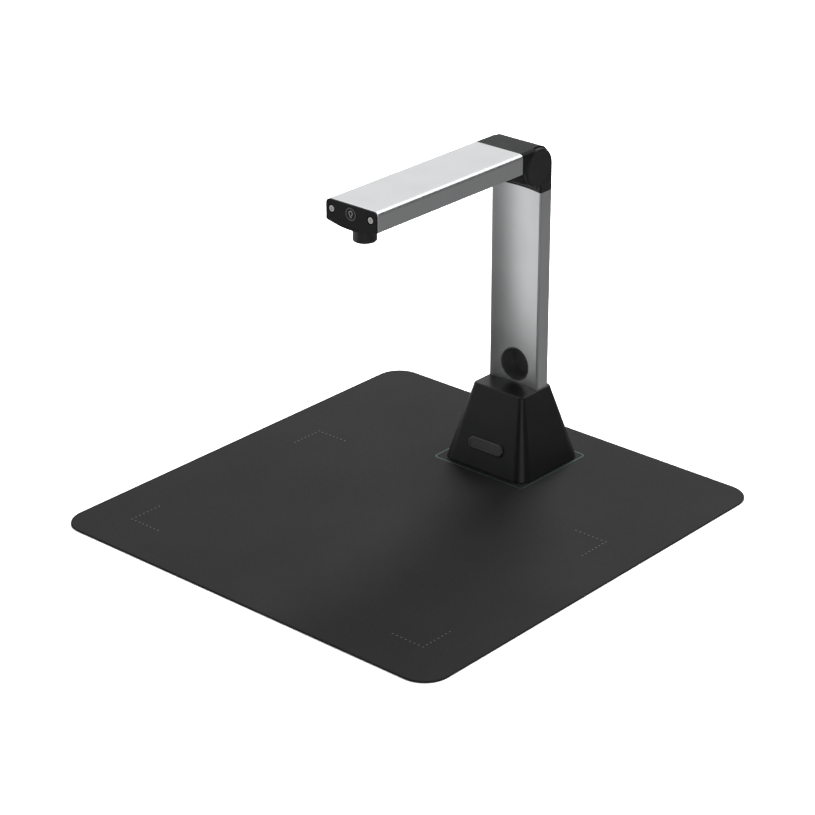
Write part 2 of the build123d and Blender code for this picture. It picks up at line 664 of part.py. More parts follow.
belly_at_screws = FOLD_GAP - ARM_BELLY * (1 - (15 / half_w) ** 2)
below_arm = Plane(origin=(0, 0, AXIS_Z + belly_at_screws), x_dir=(1, 0, 0), z_dir=(0, 0, -1))
with BuildPart() as arm_rear_screws:
    with BuildSketch(below_arm.offset(-0.4)):
        with Locations(*rear_screws_at):
            Circle(1.2)
    extrude(amount=-9)
    with BuildSketch(below_arm.offset(0.5)):
        with Locations(*rear_screws_at):
            Circle(1.5)
            Rectangle(1.8, 0.5, mode=Mode.SUBTRACT)
    extrude(amount=-1.5)
finish(arm_rear_screws, "arm_rear_screws")

# ---------------------------------------------------------------- arm's front cap, button and switch
BUTTON_R, BUTTON_Z = 7.5, AXIS_Z + 13.5
BUTTON_TRAVEL = 0.6
SCREW_SINK = 1.2
FRONT_HEAD_R, FRONT_RECESS_R = 3.55, 4.7
front_screws_at = [(sx * CHANNEL_X, ARM_CHANNEL) for sx in (-1, 1)]
VENT_PITCH, VENT_W, VENT_H = 4.6, 2.0, 2.2
PLUG_TOP, PLUG_H, RIB_L = ARM_TOP - ARM_WALL - 0.3, 16, 5  # the cap's locating ribs inside the tube

with BuildPart() as front_cap:
    with BuildSketch(facing_front(tube_front, AXIS_Z)):
        add(arm_outline(edge_r=ARM_EDGE_R, near_r=ARM_LOW_R))
    extrude(amount=cap_t)
    fillet(front_cap.faces().sort_by(Axis.Y)[0].edges(), 0.5)
    with BuildSketch(facing_front(tube_front, AXIS_Z)):
        with Locations((0, PLUG_TOP - PLUG_H / 2)):
            Rectangle(2 * PLUG_HALF, PLUG_H)
            Rectangle(2 * PLUG_HALF - 4, PLUG_H, mode=Mode.SUBTRACT)
        with Locations((0, PLUG_TOP - 0.8)):
            Rectangle(2 * PLUG_HALF, 1.6)
    extrude(amount=-RIB_L)
    with BuildSketch(facing_front(tube_front, BUTTON_Z)):
        Circle(BUTTON_R + 1.1)
    extrude(amount=-RIB_L, mode=Mode.SUBTRACT)
    with BuildSketch(facing_front(tube_front + 1, BUTTON_Z)):
        Circle(BUTTON_R + 0.15)
    extrude(amount=6, mode=Mode.SUBTRACT)
    with BuildSketch(facing_front(tube_front + 1, AXIS_Z)):
        with Locations(*front_screws_at):
            Circle(2.1)
    extrude(amount=6, mode=Mode.SUBTRACT)
    with BuildSketch(facing_front(arm_front, AXIS_Z)):
        with Locations(*front_screws_at):
            Circle(FRONT_RECESS_R)
    extrude(amount=-SCREW_SINK, mode=Mode.SUBTRACT)
    with BuildSketch(facing_front(arm_front, AXIS_Z)):
        for k in range(-2, 3):
            edge_z = FOLD_GAP - ARM_BELLY * (1 - (k * VENT_PITCH / half_w) ** 2)
            with Locations((k * VENT_PITCH, edge_z + 1.6 + VENT_H / 2)):
                SlotOverall(VENT_H, VENT_W / 2, rotation=90)
    extrude(amount=-cap_t, mode=Mode.SUBTRACT)
finish(front_cap, "front_cap")

front_cap_screws = pan_screw(
    FRONT_HEAD_R, 1.0, 1.95, 14, facing_front(arm_front + SCREW_SINK, AXIS_Z), front_screws_at
)
finish(front_cap_screws, "front_cap_screws")

with BuildPart() as light_button:
    with BuildSketch(facing_front(tube_front + 0.2, BUTTON_Z)):
        Circle(BUTTON_R)
    extrude(amount=cap_t + 0.4)
    fillet(light_button.edges().sort_by(Axis.Y)[0], 0.5)
    with BuildSketch(facing_front(tube_front + 1.2, BUTTON_Z)):
        Circle(BUTTON_R + 0.6)
    extrude(amount=1.0)
    with BuildSketch(facing_front(tube_front + 1.2, BUTTON_Z)):
        Circle(1.6)
    extrude(amount=-1.0)
finish(light_button, "light_button")

switch_y = tube_front + 2.2 + BUTTON_TRAVEL + 0.1
with BuildPart() as button_switch:
    with BuildSketch(facing_front(switch_y + 3.4, BUTTON_Z)):
        Rectangle(6, 6)
    extrude(amount=3.0)
    with BuildSketch(facing_front(switch_y + 0.4, BUTTON_Z)):
        Circle(1.7)
    extrude(amount=0.4)
finish(button_switch, "button_switch")

with BuildPart() as button_board:
    with BuildSketch(facing_front(switch_y + 4.6, BUTTON_Z)):
        Rectangle(30, 8)
    extrude(amount=1.2)
finish(button_board, "button_board")

# ---------------------------------------------------------------- camera head
barrel_low = AXIS_Z - BARREL_DROP
flange_low = AXIS_Z + 3.2
with BuildPart() as lens_barrel:
    with BuildSketch(Plane.XZ.offset(-lens_y)):
        with BuildLine():
            Polyline(
                (6.0, AXIS_Z + 8.5), (14.6, AXIS_Z + 8.5), (14.6, flange_low), (BARREL_R, flange_low),
                (BARREL_R, barrel_low + 0.9), (BARREL_R - 0.9, barrel_low), (9.6, barrel_low),
                (9.6, barrel_low + 6), (7.2, barrel_low + 6), (7.2, barrel_low + 18),
                (6.0, barrel_low + 18), (6.0, AXIS_Z + 8.5),
            )
        make_face()
    revolve(axis=Axis((0, lens_y, 0), (0, 0, 1)))
finish(lens_barrel, "lens_barrel")

with BuildPart() as lens_retainer:
    with BuildSketch(level(barrel_low + 1.2)):
        with Locations(barrel_at):
            Circle(9.5)
            Circle(7.2, mode=Mode.SUBTRACT)
    extrude(amount=2.2)
    mouth = lens_retainer.edges().filter_by(GeomType.CIRCLE).group_by(Axis.Z)[0].sort_by(SortBy.RADIUS)[0]
    chamfer(mouth, 1.4)
finish(lens_retainer, "lens_retainer")

with BuildPart() as lens_glass:
    with BuildSketch(level(barrel_low + 3.5)):
        with Locations(barrel_at):
            Circle(9.4)
    extrude(amount=1.2)
finish(lens_glass, "lens_glass")


def lens(radius, low, bulge, edge):
    """Half of the section of a biconvex lens, to turn about the lens axis."""
    curve = (radius ** 2 + bulge ** 2) / (2 * bulge)
    half_angle = asin(radius / curve) / 2
    mid_x = curve * sin(half_angle)
    mid_drop = curve * (1 - cos(half_angle))
    top = low + edge + 2 * bulge
    with BuildSketch() as half:
        with BuildLine():
            Line((0, low), (0, top))
            ThreePointArc((0, top), (mid_x, top - mid_drop), (radius, top - bulge))
            Line((radius, top - bulge), (radius, low + bulge))
            ThreePointArc((radius, low + bulge), (mid_x, low + mid_drop), (0, low))
        make_face()
    return half.sketch


with BuildPart() as lens_elements:
    with BuildSketch(Plane.XZ.offset(-lens_y)):
        add(lens(7.1, barrel_low + 6.2, 1.2, 1.0))
        add(lens(7.1, barrel_low + 12.6, 0.9, 1.6))
    revolve(axis=Axis((0, lens_y, 0), (0, 0, 1)))
finish(lens_elements, "lens_elements")

sensor_low = AXIS_Z + 9.2
camera_low = sensor_low + 1.6
CAMERA_W, CAMERA_FRONT, CAMERA_REAR = 42, lens_y - 8.5, lens_y + 30
camera_mid = (CAMERA_FRONT + CAMERA_REAR) / 2
camera_screws_at = [(sx * 17.5, lens_y + dy) for sx in (-1, 1) for dy in (-6, 14)]

with BuildPart() as image_sensor:
    with BuildSketch(level(sensor_low)):
        with Locations(barrel_at):
            Rectangle(12, 10)
    extrude(amount=1.6)
finish(image_sensor, "image_sensor")

with BuildPart() as camera_board:
    with BuildSketch(level(camera_low)):
        with Locations((0, camera_mid)):
            RectangleRounded(CAMERA_W, CAMERA_REAR - CAMERA_FRONT, 2)
        with Locations(*camera_screws_at):
            Circle(1.3, mode=Mode.SUBTRACT)
    extrude(amount=BOARD_T)
finish(camera_board, "camera_board")

with BuildPart() as camera_chips:
    with BuildSketch(level(camera_low + BOARD_T)):
        with Locations((0, lens_y + 14)):
            Rectangle(13, 13)
    extrude(amount=1.2)
    with BuildSketch(level(camera_low + BOARD_T)):
        with Locations((-11, lens_y), (11, lens_y)):
            Rectangle(7, 8)
    extrude(amount=1.0)
finish(camera_chips, "camera_chips")

with BuildPart() as camera_posts:
    for x, y in camera_screws_at:
        inner_floor = FOLD_GAP + ARM_WALL - ARM_BELLY * (1 - (x / (half_w - ARM_WALL)) ** 2)
        post_z = AXIS_Z + inner_floor + 0.75
        with BuildSketch(level(post_z)):
            with Locations((x, y)):
                Circle(2.4)
                Circle(1.2, mode=Mode.SUBTRACT)
        extrude(amount=camera_low - post_z)
finish(camera_posts, "camera_posts")

camera_screws = pan_screw(2.2, 1.3, 1.1, BOARD_T + 5, level(camera_low + BOARD_T), camera_screws_at)
finish(camera_screws, "camera_screws")

# ---------------------------------------------------------------- page light
WINDOW_T = 1.4


def belly_z(x):
    """Height of the arm's bowed underside at a distance from its middle."""
    curve = (half_w ** 2 + ARM_BELLY ** 2) / (2 * ARM_BELLY)
    return arm_low - ARM_BELLY + curve - sqrt(curve ** 2 - x ** 2)


with BuildPart() as led_window:
    with BuildSketch(level(AXIS_Z - 8, LED_Y)):
        RectangleRounded(LED_L, LED_W, 2.9)
    extrude(amount=14)
    with BuildSketch(facing_front(LED_Y + LED_W, AXIS_Z)):
        add(arm_outline())
    extrude(amount=2 * LED_W, mode=Mode.INTERSECT)
    with BuildSketch(facing_front(LED_Y + LED_W, AXIS_Z)):
        add(arm_outline(inset=WINDOW_T))
    extrude(amount=2 * LED_W, mode=Mode.SUBTRACT)
finish(led_window, "led_window")

LED_COUNT, LED_PITCH = 6, 7.5
led_low = belly_z(LED_L / 2) + 2.6
with BuildPart() as led_board:
    with BuildSketch(level(led_low + 0.9, LED_Y)):
        Rectangle(LED_L + 4, LED_W + 3)
    extrude(amount=1.2)
finish(led_board, "led_board")

with BuildPart() as leds:
    with BuildSketch(level(led_low, LED_Y)):
        with GridLocations(LED_PITCH, 1, LED_COUNT, 1):
            Rectangle(3, 2.8)
    extrude(amount=0.9)
finish(leds, "leds")

with BuildPart() as arm_cable:
    with BuildSketch(facing_front(AXIS_Y - 20, AXIS_Z + 12)):
        Circle(CABLE_R)
    extrude(amount=AXIS_Y - 20 - CAMERA_REAR - 0.1)
finish(arm_cable, "arm_cable")
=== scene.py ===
"""Looks of the overhead book scanner: materials, printed marks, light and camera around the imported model."""

from math import cos, radians, sin

import bmesh
import bpy
from mathutils import Matrix, Vector


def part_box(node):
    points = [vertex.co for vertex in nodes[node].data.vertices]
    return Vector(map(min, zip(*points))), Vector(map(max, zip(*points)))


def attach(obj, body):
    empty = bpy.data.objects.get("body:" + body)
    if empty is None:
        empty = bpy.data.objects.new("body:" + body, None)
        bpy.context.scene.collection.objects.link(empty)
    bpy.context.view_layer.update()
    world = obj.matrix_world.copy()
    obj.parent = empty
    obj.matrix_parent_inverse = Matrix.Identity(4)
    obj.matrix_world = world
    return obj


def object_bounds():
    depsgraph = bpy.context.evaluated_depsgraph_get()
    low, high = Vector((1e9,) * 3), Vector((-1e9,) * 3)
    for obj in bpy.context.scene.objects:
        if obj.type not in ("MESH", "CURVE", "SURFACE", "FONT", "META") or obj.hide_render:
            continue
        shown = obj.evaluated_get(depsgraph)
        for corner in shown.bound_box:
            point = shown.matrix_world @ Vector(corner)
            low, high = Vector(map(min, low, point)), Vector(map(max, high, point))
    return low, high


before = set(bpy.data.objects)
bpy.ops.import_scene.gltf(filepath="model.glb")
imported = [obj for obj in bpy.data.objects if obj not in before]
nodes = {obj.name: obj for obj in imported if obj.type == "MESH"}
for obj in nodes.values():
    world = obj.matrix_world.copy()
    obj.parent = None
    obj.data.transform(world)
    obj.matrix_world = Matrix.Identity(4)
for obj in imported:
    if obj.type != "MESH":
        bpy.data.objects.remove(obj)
cad_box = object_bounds()
scene = bpy.context.scene

MM = 0.001


# ---------------------------------------------------------------- camera
AZIMUTH, ELEVATION, ROLL = 41.459, 24.882, 0.12      # degrees
LENS, SENSOR = 116.63, 36.0                          # millimetres
AIM, DISTANCE = Vector((-0.0363, 0.0362, 0.0993)), 2.9


def heading(azimuth, elevation):
    """Unit vector towards an azimuth (0 is -Y, 90 is +X) and an elevation, in degrees."""
    a, e = radians(azimuth), radians(elevation)
    return Vector((sin(a) * cos(e), -cos(a) * cos(e), sin(e)))


def make_camera():
    """Camera at a distance from the point it aims at, rolled a little about its own axis."""
    data = bpy.data.cameras.new("camera")
    data.lens, data.sensor_width = LENS, SENSOR
    data.clip_start, data.clip_end = 0.05, 200
    camera = bpy.data.objects.new("camera", data)
    scene.collection.objects.link(camera)
    back = heading(AZIMUTH, ELEVATION)
    right = (-back).cross(Vector((0, 0, 1))).normalized()
    up = back.cross(right)
    roll = radians(ROLL)
    x_axis = cos(roll) * right - sin(roll) * up
    y_axis = sin(roll) * right + cos(roll) * up
    turn = Matrix((x_axis, y_axis, back)).transposed().to_4x4()
    camera.matrix_world = Matrix.Translation(AIM + DISTANCE * back) @ turn
    scene.camera = camera


# ---------------------------------------------------------------- shader building
class Shader:
    """One material's node tree around a Principled BSDF, in object coordinates (metres)."""

    def __init__(self, name):
        self.material = bpy.data.materials.new(name)
        self.material.use_nodes = True
        self.tree = self.material.node_tree
        self.bsdf = next(n for n in self.tree.nodes if n.type == "BSDF_PRINCIPLED")
        self.coords = self.node("ShaderNodeTexCoord").outputs["Object"]

    def node(self, kind, **settings):
        made = self.tree.nodes.new(kind)
        for key, value in settings.items():
            setattr(made, key, value)
        return made

    def join(self, source, target):
        self.tree.links.new(source, target)

    def set(self, **values):
        for key, value in values.items():
            self.bsdf.inputs[key.replace("_", " ")].default_value = value

    def stretched(self, scale):
        """Coordinates scaled by a triple, for streaks."""
        mapping = self.node("ShaderNodeMapping")
        mapping.inputs["Scale"].default_value = scale
        self.join(self.coords, mapping.inputs["Vector"])
        return mapping.outputs["Vector"]

    def noise(self, size, detail=2.0, rough=0.5, vector=None):
        """Noise whose features are about a given size in metres."""
        made = self.node("ShaderNodeTexNoise")
        made.inputs["Scale"].default_value = 1 / size
        made.inputs["Detail"].default_value = detail
        made.inputs["Roughness"].default_value = rough
        self.join(vector or self.coords, made.inputs["Vector"])
        return made.outputs["Fac"]

    def cells(self, size):
        """Distance from the middle of cells of about a given size in metres."""
        made = self.node("ShaderNodeTexVoronoi")
        made.inputs["Scale"].default_value = 1 / size
        self.join(self.coords, made.inputs["Vector"])
        return made.outputs["Distance"]

    def fit(self, value, low, high, out_low=0.0, out_high=1.0):
        """A value's range from low to high spread over another range, and held at its ends."""
        made = self.node("ShaderNodeMapRange")
        for key, number in (("From Min", low), ("From Max", high), ("To Min", out_low), ("To Max", out_high)):
            made.inputs[key].default_value = number
        self.join(value, made.inputs["Value"])
        return made.outputs["Result"]

    def math(self, operation, a, b):
        made = self.node("ShaderNodeMath", operation=operation)
        for socket, value in zip(made.inputs, (a, b)):
            if isinstance(value, (int, float)):
                socket.default_value = value
            else:
                self.join(value, socket)
        return made.outputs["Value"]

    def mix(self, factor, a, b):
        made = self.node("ShaderNodeMix", data_type="RGBA")
        self.join(factor, made.inputs["Factor"])
        for name, value in (("A", a), ("B", b)):
            socket = next(s for s in made.inputs if s.name == name and s.type == "RGBA")
            if isinstance(value, tuple):
                socket.default_value = value
            else:
                self.join(value, socket)
        return next(s for s in made.outputs if s.type == "RGBA")

    def bump(self, height, strength, depth):
        """Bump of a given depth in metres, added under any bump already there."""
        made = self.node("ShaderNodeBump")
        made.inputs["Strength"].default_value = strength
        made.inputs["Distance"].default_value = depth
        self.join(height, made.inputs["Height"])
        normal = self.bsdf.inputs["Normal"]
        if normal.is_linked:
            self.join(normal.links[0].from_socket, made.inputs["Normal"])
        self.join(made.outputs["Normal"], normal)

    def colour(self, value):
        self.join(value, self.bsdf.inputs["Base Color"])

    def roughness(self, value):
        self.join(value, self.bsdf.inputs["Roughness"])


def grey(level, tint=(1, 1, 1)):
    """Opaque grey of a linear level, tinted."""
    return tuple(level * t for t in tint) + (1.0,)


def moulded(name, dark, light, rough, grain=0.45, depth=0.012, tint=(1, 1, 1.02), **sockets):
    """Moulded plastic: faint cloudiness, a fine eroded texture, and roughness that wanders a little."""
    s = Shader(name)
    clouds = s.fit(s.noise(40 * MM, 3), 0.35, 0.65)
    s.colour(s.mix(clouds, grey(dark, tint), grey(light, tint)))
    fine = s.noise(grain * MM, 3, 0.6)
    smudges = s.fit(s.noise(18 * MM, 4, 0.6), 0.3, 0.7, rough - 0.035, rough + 0.035)
    s.roughness(s.math("ADD", smudges, s.fit(fine, 0.3, 0.7, -0.03, 0.03)))
    s.bump(fine, 0.35, depth * MM)
    s.set(**sockets)
    return s.material


def metal(name, dark, light, rough, grain=0.25, depth=0.006, streak=None, tint=(1, 1, 1), **sockets):
    """Metal with a fine grain; streak stretches it along the drawn direction."""
    s = Shader(name)
    s.set(Metallic=1.0)
    clouds = s.fit(s.noise(55 * MM, 3, 0.55), 0.3, 0.7)
    s.colour(s.mix(clouds, grey(dark, tint), grey(light, tint)))
    fine = s.noise(grain * MM, 2, 0.6)
    level = s.fit(fine, 0.25, 0.75, -0.04, 0.04)
    if streak:
        lines = s.noise(1.6 * MM, 3, 0.7, s.stretched(streak))
        level = s.math("ADD", level, s.fit(lines, 0.3, 0.7, -0.02, 0.02))
        s.bump(lines, 0.12, 0.004 * MM)
    s.roughness(s.math("ADD", s.fit(s.noise(22 * MM, 3), 0.3, 0.7, rough - 0.02, rough + 0.02), level))
    s.bump(fine, 0.3, depth * MM)
    s.set(**sockets)
    return s.material


def rubber_mat():
    """Cut-proof desk mat: matt, with a fine pebbled skin."""
    s = Shader("mat_skin")
    clouds = s.fit(s.noise(140 * MM, 3), 0.3, 0.7)
    speck = s.fit(s.noise(0.9 * MM, 3, 0.65), 0.35, 0.65)
    base = s.mix(clouds, grey(0.0135), grey(0.0160))
    s.colour(s.mix(s.math("MULTIPLY", speck, 0.3), base, grey(0.028)))
    s.roughness(s.fit(s.noise(3 * MM, 3), 0.3, 0.7, 0.78, 0.90))
    s.bump(s.cells(0.9 * MM), 0.35, 0.05 * MM)
    s.bump(s.noise(0.35 * MM, 2), 0.3, 0.03 * MM)
    s.set(Specular_IOR_Level=0.05)
    return s.material


def ink(name, colour):
    """Screen-printed ink, slightly broken up by the grain below it."""
    s = Shader(name)
    worn = s.fit(s.noise(0.8 * MM, 3, 0.6), 0.3, 0.7)
    s.colour(s.mix(worn, tuple(0.72 * c for c in colour) + (1.0,), tuple(colour) + (1.0,)))
    s.roughness(s.fit(s.noise(1.5 * MM), 0.3, 0.7, 0.44, 0.56))
    s.bump(s.noise(0.4 * MM, 2), 0.2, 0.02 * MM)
    return s.material


def glass(name, tint, **sockets):
    """Coated optical glass: clear, with a faint residue that varies its roughness."""
    s = Shader(name)
    haze = s.fit(s.noise(6 * MM, 3), 0.35, 0.7)
    s.colour(s.mix(haze, tint + (1.0,), tuple(0.97 * t for t in tint) + (1.0,)))
    s.roughness(s.fit(s.noise(4 * MM, 4), 0.3, 0.7, 0.01, 0.04))
    s.set(Transmission_Weight=1.0, IOR=1.52, **sockets)
    return s.material


def solder_mask():
    """Green circuit board with traces below the mask and tinned pads."""
    s = Shader("solder_mask")
    made = s.node("ShaderNodeTexBrick")
    made.inputs["Scale"].default_value = 1 / (6 * MM)
    made.inputs["Mortar Size"].default_value = 0.045
    made.inputs["Color1"].default_value = (0.006, 0.060, 0.022, 1)
    made.inputs["Color2"].default_value = (0.008, 0.075, 0.028, 1)
    made.inputs["Mortar"].default_value = (0.016, 0.150, 0.050, 1)
    s.join(s.coords, made.inputs["Vector"])
    pads = s.fit(s.cells(3.4 * MM), 0.10, 0.13)
    s.colour(s.mix(pads, (0.55, 0.53, 0.48, 1), made.outputs["Color"]))
    s.roughness(s.fit(s.noise(5 * MM), 0.3, 0.7, 0.28, 0.4))
    s.bump(made.outputs["Fac"], 0.3, 0.03 * MM)
    s.set(Coat_Weight=0.25, Coat_Roughness=0.2)
    return s.material


def phosphor():
    """LED: white case with a yellow phosphor window."""
    s = Shader("led_phosphor")
    fleck = s.fit(s.cells(2.2 * MM), 0.25, 0.5)
    s.colour(s.mix(fleck, (0.80, 0.62, 0.14, 1), (0.82, 0.82, 0.80, 1)))
    s.roughness(s.fit(s.noise(1 * MM), 0.3, 0.7, 0.35, 0.5))
    s.set(Subsurface_Weight=0.1)
    return s.material


def diffuser():
    """Milky light window."""
    s = Shader("diffuser")
    s.colour(s.mix(s.fit(s.noise(8 * MM, 3), 0.3, 0.7), (0.80, 0.82, 0.83, 1), (0.88, 0.89, 0.90, 1)))
    s.roughness(s.fit(s.noise(0.6 * MM, 2), 0.3, 0.7, 0.30, 0.42))
    s.bump(s.noise(0.5 * MM, 2), 0.15, 0.01 * MM)
    s.set(Transmission_Weight=0.35, IOR=1.49, Subsurface_Weight=0.2)
    return s.material


# Materials by the record's slots, then those of single nodes that differ from their slot's
MATERIALS = {
    "mat_rubber": rubber_mat(),
    "housing_black": moulded("housing_plastic", 0.0085, 0.0105, 0.33, Specular_IOR_Level=0.22),
    "cover_black": moulded("cover_plastic", 0.0075, 0.0095, 0.32, 0.6, 0.008, Specular_IOR_Level=0.30),
    "badge_black": moulded("badge_plastic", 0.018, 0.022, 0.34, 0.35, 0.008, Specular_IOR_Level=0.5),
    "plate_steel": metal("zinc_plate", 0.50, 0.60, 0.36, 1.2, 0.02, tint=(0.97, 0.98, 1.0)),
    "foot_rubber": moulded("foot_rubber", 0.018, 0.026, 0.78, 0.8, 0.05),
    "inner_plastic": moulded("inner_plastic", 0.030, 0.040, 0.48, 0.6, 0.02),
    "screw_steel": metal("screw_zinc", 0.46, 0.58, 0.28, 0.6, 0.01, tint=(0.97, 0.98, 1.0)),
    "screw_nickel": metal("screw_nickel", 0.42, 0.50, 0.32, 0.4, 0.006, tint=(1.0, 0.985, 0.96)),
    "bush_brass": metal("bush_brass", 0.55, 0.68, 0.26, 0.5, 0.008, tint=(1.0, 0.74, 0.36)),
    "friction_ring": moulded("friction_fibre", 0.10, 0.16, 0.7, 0.5, 0.04, tint=(1.0, 0.86, 0.66)),
    "barrel_black": moulded("barrel_plastic", 0.0110, 0.0135, 0.38, 0.5, 0.010, Specular_IOR_Level=0.35),
    "lens_glass": glass("coated_glass", (0.93, 0.96, 1.0), Thin_Film_Thickness=320.0, Thin_Film_IOR=1.38),
    "circuit_board": solder_mask(),
    "chip_black": moulded("chip_epoxy", 0.016, 0.024, 0.5, 0.3, 0.02),
    "socket_metal": metal("socket_shell", 0.55, 0.66, 0.24, 0.6, 0.008),
    "led_white": phosphor(),
    "light_window": diffuser(),
    "cable_black": moulded("cable_pvc", 0.014, 0.020, 0.5, 0.8, 0.02),
}
DRAWN_ALONG_Y, DRAWN_ALONG_Z = (1, 0.012, 1), (1, 1, 0.012)
ANODISED = dict(dark=0.70, light=0.745, rough=0.36, grain=0.30, tint=(0.992, 0.996, 1.0))
front_plastic = moulded("front_plastic", 0.0085, 0.0100, 0.40, Specular_IOR_Level=0.08)
OWN_MATERIALS = {
    "arm_tube": metal("anodised_arm", streak=DRAWN_ALONG_Y, **ANODISED),
    "column_tube": metal("anodised_column", streak=DRAWN_ALONG_Z, **ANODISED),
    # The dock cup's black is painted several times lighter than the other black plastics: painted light that
    # stands in for the light its deep recess doesn't get.
    "dock_cup": moulded("cup_painted_light", 0.042, 0.055, 0.38, 0.6, 0.015, Specular_IOR_Level=0.5),
    "arm_rear_cap": moulded("elbow_plastic", 0.0052, 0.0066, 0.38, Specular_IOR_Level=0.08),
    "front_cap": front_plastic,
    "light_button": front_plastic,
}


def dress_nodes():
    """Every node takes its own material, or the one of its slot in the record."""
    for name, node in nodes.items():
        for slot in node.material_slots:
            slot_name = slot.material.name.split(".")[0]
            slot.material = OWN_MATERIALS.get(name) or MATERIALS[slot_name]


# ---------------------------------------------------------------- small printed and applied pieces
class Sheet:
    """A flat place on the object: an origin and two axes, with its normal."""

    def __init__(self, origin, across, along):
        self.origin, self.across, self.along = Vector(origin), Vector(across), Vector(along)
        self.normal = self.across.cross(self.along)

    def at(self, u, v, height=0.0):
        return self.origin + u * self.across + v * self.along + height * self.normal


def bmesh_to_object(name, mesh):
    bmesh.ops.recalc_face_normals(mesh, faces=mesh.faces)
    data = bpy.data.meshes.new(name)
    mesh.to_mesh(data)
    mesh.free()
    made = bpy.data.objects.new(name, data)
    scene.collection.objects.link(made)
    return made


def piece(name, body, mesh, material):
    """Adds a piece that rides on a body, with a material of its own."""
    made = bmesh_to_object(name, mesh)
    made.data.materials.append(material)
    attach(made, body)


def add_prism(mesh, sheet, outline, low, high):
    """Closed prism over an outline of (u, v) points, from low to high above the sheet."""
    bottom = [mesh.verts.new(sheet.at(u, v, low)) for u, v in outline]
    top = [mesh.verts.new(sheet.at(u, v, high)) for u, v in outline]
    mesh.faces.new(top)
    mesh.faces.new(bottom[::-1])
    for k in range(len(outline)):
        n = (k + 1) % len(outline)
        mesh.faces.new((bottom[k], bottom[n], top[n], top[k]))


def add_ribbon(mesh, sheet, path, width, low, high, closed):
    """Strip of a width that follows a path of (u, v) points."""
    rings = []
    count = len(path)
    for k, (u, v) in enumerate(path):
        before = path[k - 1] if closed or k else path[k]
        after = path[(k + 1) % count] if closed or k < count - 1 else path[k]
        side = Vector((after[1] - before[1], before[0] - after[0])).normalized() * width / 2
        corners = ((side, low), (side, high), (-side, high), (-side, low))
        rings.append([mesh.verts.new(sheet.at(u + s.x, v + s.y, h)) for s, h in corners])
    for k in range(count if closed else count - 1):
        a, b = rings[k], rings[(k + 1) % count]
        for i in range(4):
            j = (i + 1) % 4
            mesh.faces.new((a[i], a[j], b[j], b[i]))
    if not closed:
        mesh.faces.new(rings[0])
        mesh.faces.new(rings[-1][::-1])


def arc(centre, radius, start, end, steps):
    """Points along an arc, angles in degrees."""
    angles = [radians(start + (end - start) * k / steps) for k in range(steps + 1)]
    return [(centre[0] + radius * cos(a), centre[1] + radius * sin(a)) for a in angles]


def circle(centre, radius, sides):
    """Points of a regular polygon in a circle."""
    return arc(centre, radius, 0, 360 * (sides - 1) / sides, sides - 1)


def rounded_rectangle(half_u, half_v, radius):
    """Points of a rectangle with round corners about the sheet's origin."""
    points = []
    for corner, (su, sv) in enumerate(((1, 1), (-1, 1), (-1, -1), (1, -1))):
        centre = (su * (half_u - radius), sv * (half_v - radius))
        points += arc(centre, radius, 90 * corner, 90 * corner + 90, CORNER_STEPS)
    return points


CORNER_STEPS = 8
INK_SINK, INK_PROUD = -0.15 * MM, 0.04 * MM          # below and above the surface it is printed on
PAGE_W, PAGE_D = 420 * MM, 297 * MM                  # the largest page
PAGE_MARGIN = 56.2 * MM                              # from the mat's front edge to the page's
DOT_R, DOT_SIDES = 0.95 * MM, 12
DOT_PITCH, DOTS = 5.8 * MM, 8                        # along each leg of a page corner
OUTLINE_GAP, OUTLINE_OFF = 4.4 * MM, 1.4 * MM        # around the base, and off its middle
OUTLINE_W, OUTLINE_R = 1.5 * MM, 5 * MM


def print_mat():
    """Page corners as dotted angles, and the outline where the base stands."""
    low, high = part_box("scan_mat")
    middle = (low + high) / 2
    page = Sheet((middle.x, low.y + PAGE_MARGIN + PAGE_D / 2, high.z), (1, 0, 0), (0, 1, 0))
    dots = bmesh.new()
    for su in (-1, 1):
        for sv in (-1, 1):
            corner = (su * PAGE_W / 2, sv * PAGE_D / 2)
            legs = [(corner[0] - su * k * DOT_PITCH, corner[1]) for k in range(DOTS)]
            legs += [(corner[0], corner[1] - sv * k * DOT_PITCH) for k in range(1, DOTS)]
            for spot in legs:
                add_prism(dots, page, circle(spot, DOT_R, DOT_SIDES), INK_SINK, INK_PROUD)
    piece("page_marks", "mat", dots, ink("ink_grey", (0.041, 0.041, 0.042)))

    base_low, base_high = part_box("base_housing")
    base_mid = (base_low + base_high) / 2
    foot = Sheet((base_mid.x - OUTLINE_OFF, base_mid.y - OUTLINE_OFF, high.z), (1, 0, 0), (0, 1, 0))
    half_u = (base_high.x - base_low.x) / 2 + OUTLINE_GAP
    half_v = (base_high.y - base_low.y) / 2 + OUTLINE_GAP
    outline = bmesh.new()
    path = rounded_rectangle(half_u, half_v, OUTLINE_R)
    add_ribbon(outline, foot, path, OUTLINE_W, INK_SINK, INK_PROUD, True)
    piece("base_outline", "mat", outline, ink("ink_teal", (0.020, 0.040, 0.041)))


FLANGE = 0.6 * MM                                    # the button's hidden rim, inside the cap
SIGN_SINK, SIGN_PROUD = -0.1 * MM, 0.06 * MM
RING_INSET, RING_W, RING_SIDES = 1.1 * MM, 1.3 * MM, 60
BULB_R, BULB_RISE, BULB_W = 2.3 * MM, 1.0 * MM, 0.85 * MM
NECK_HALF, NECK_DROP = 1.05 * MM, 1.9 * MM           # where the bulb's outline ends
SOCKET_LINES = ((2.7 * MM, 1.2 * MM), (3.7 * MM, 0.8 * MM))    # drop and half width of each
SOCKET_W = 0.6 * MM


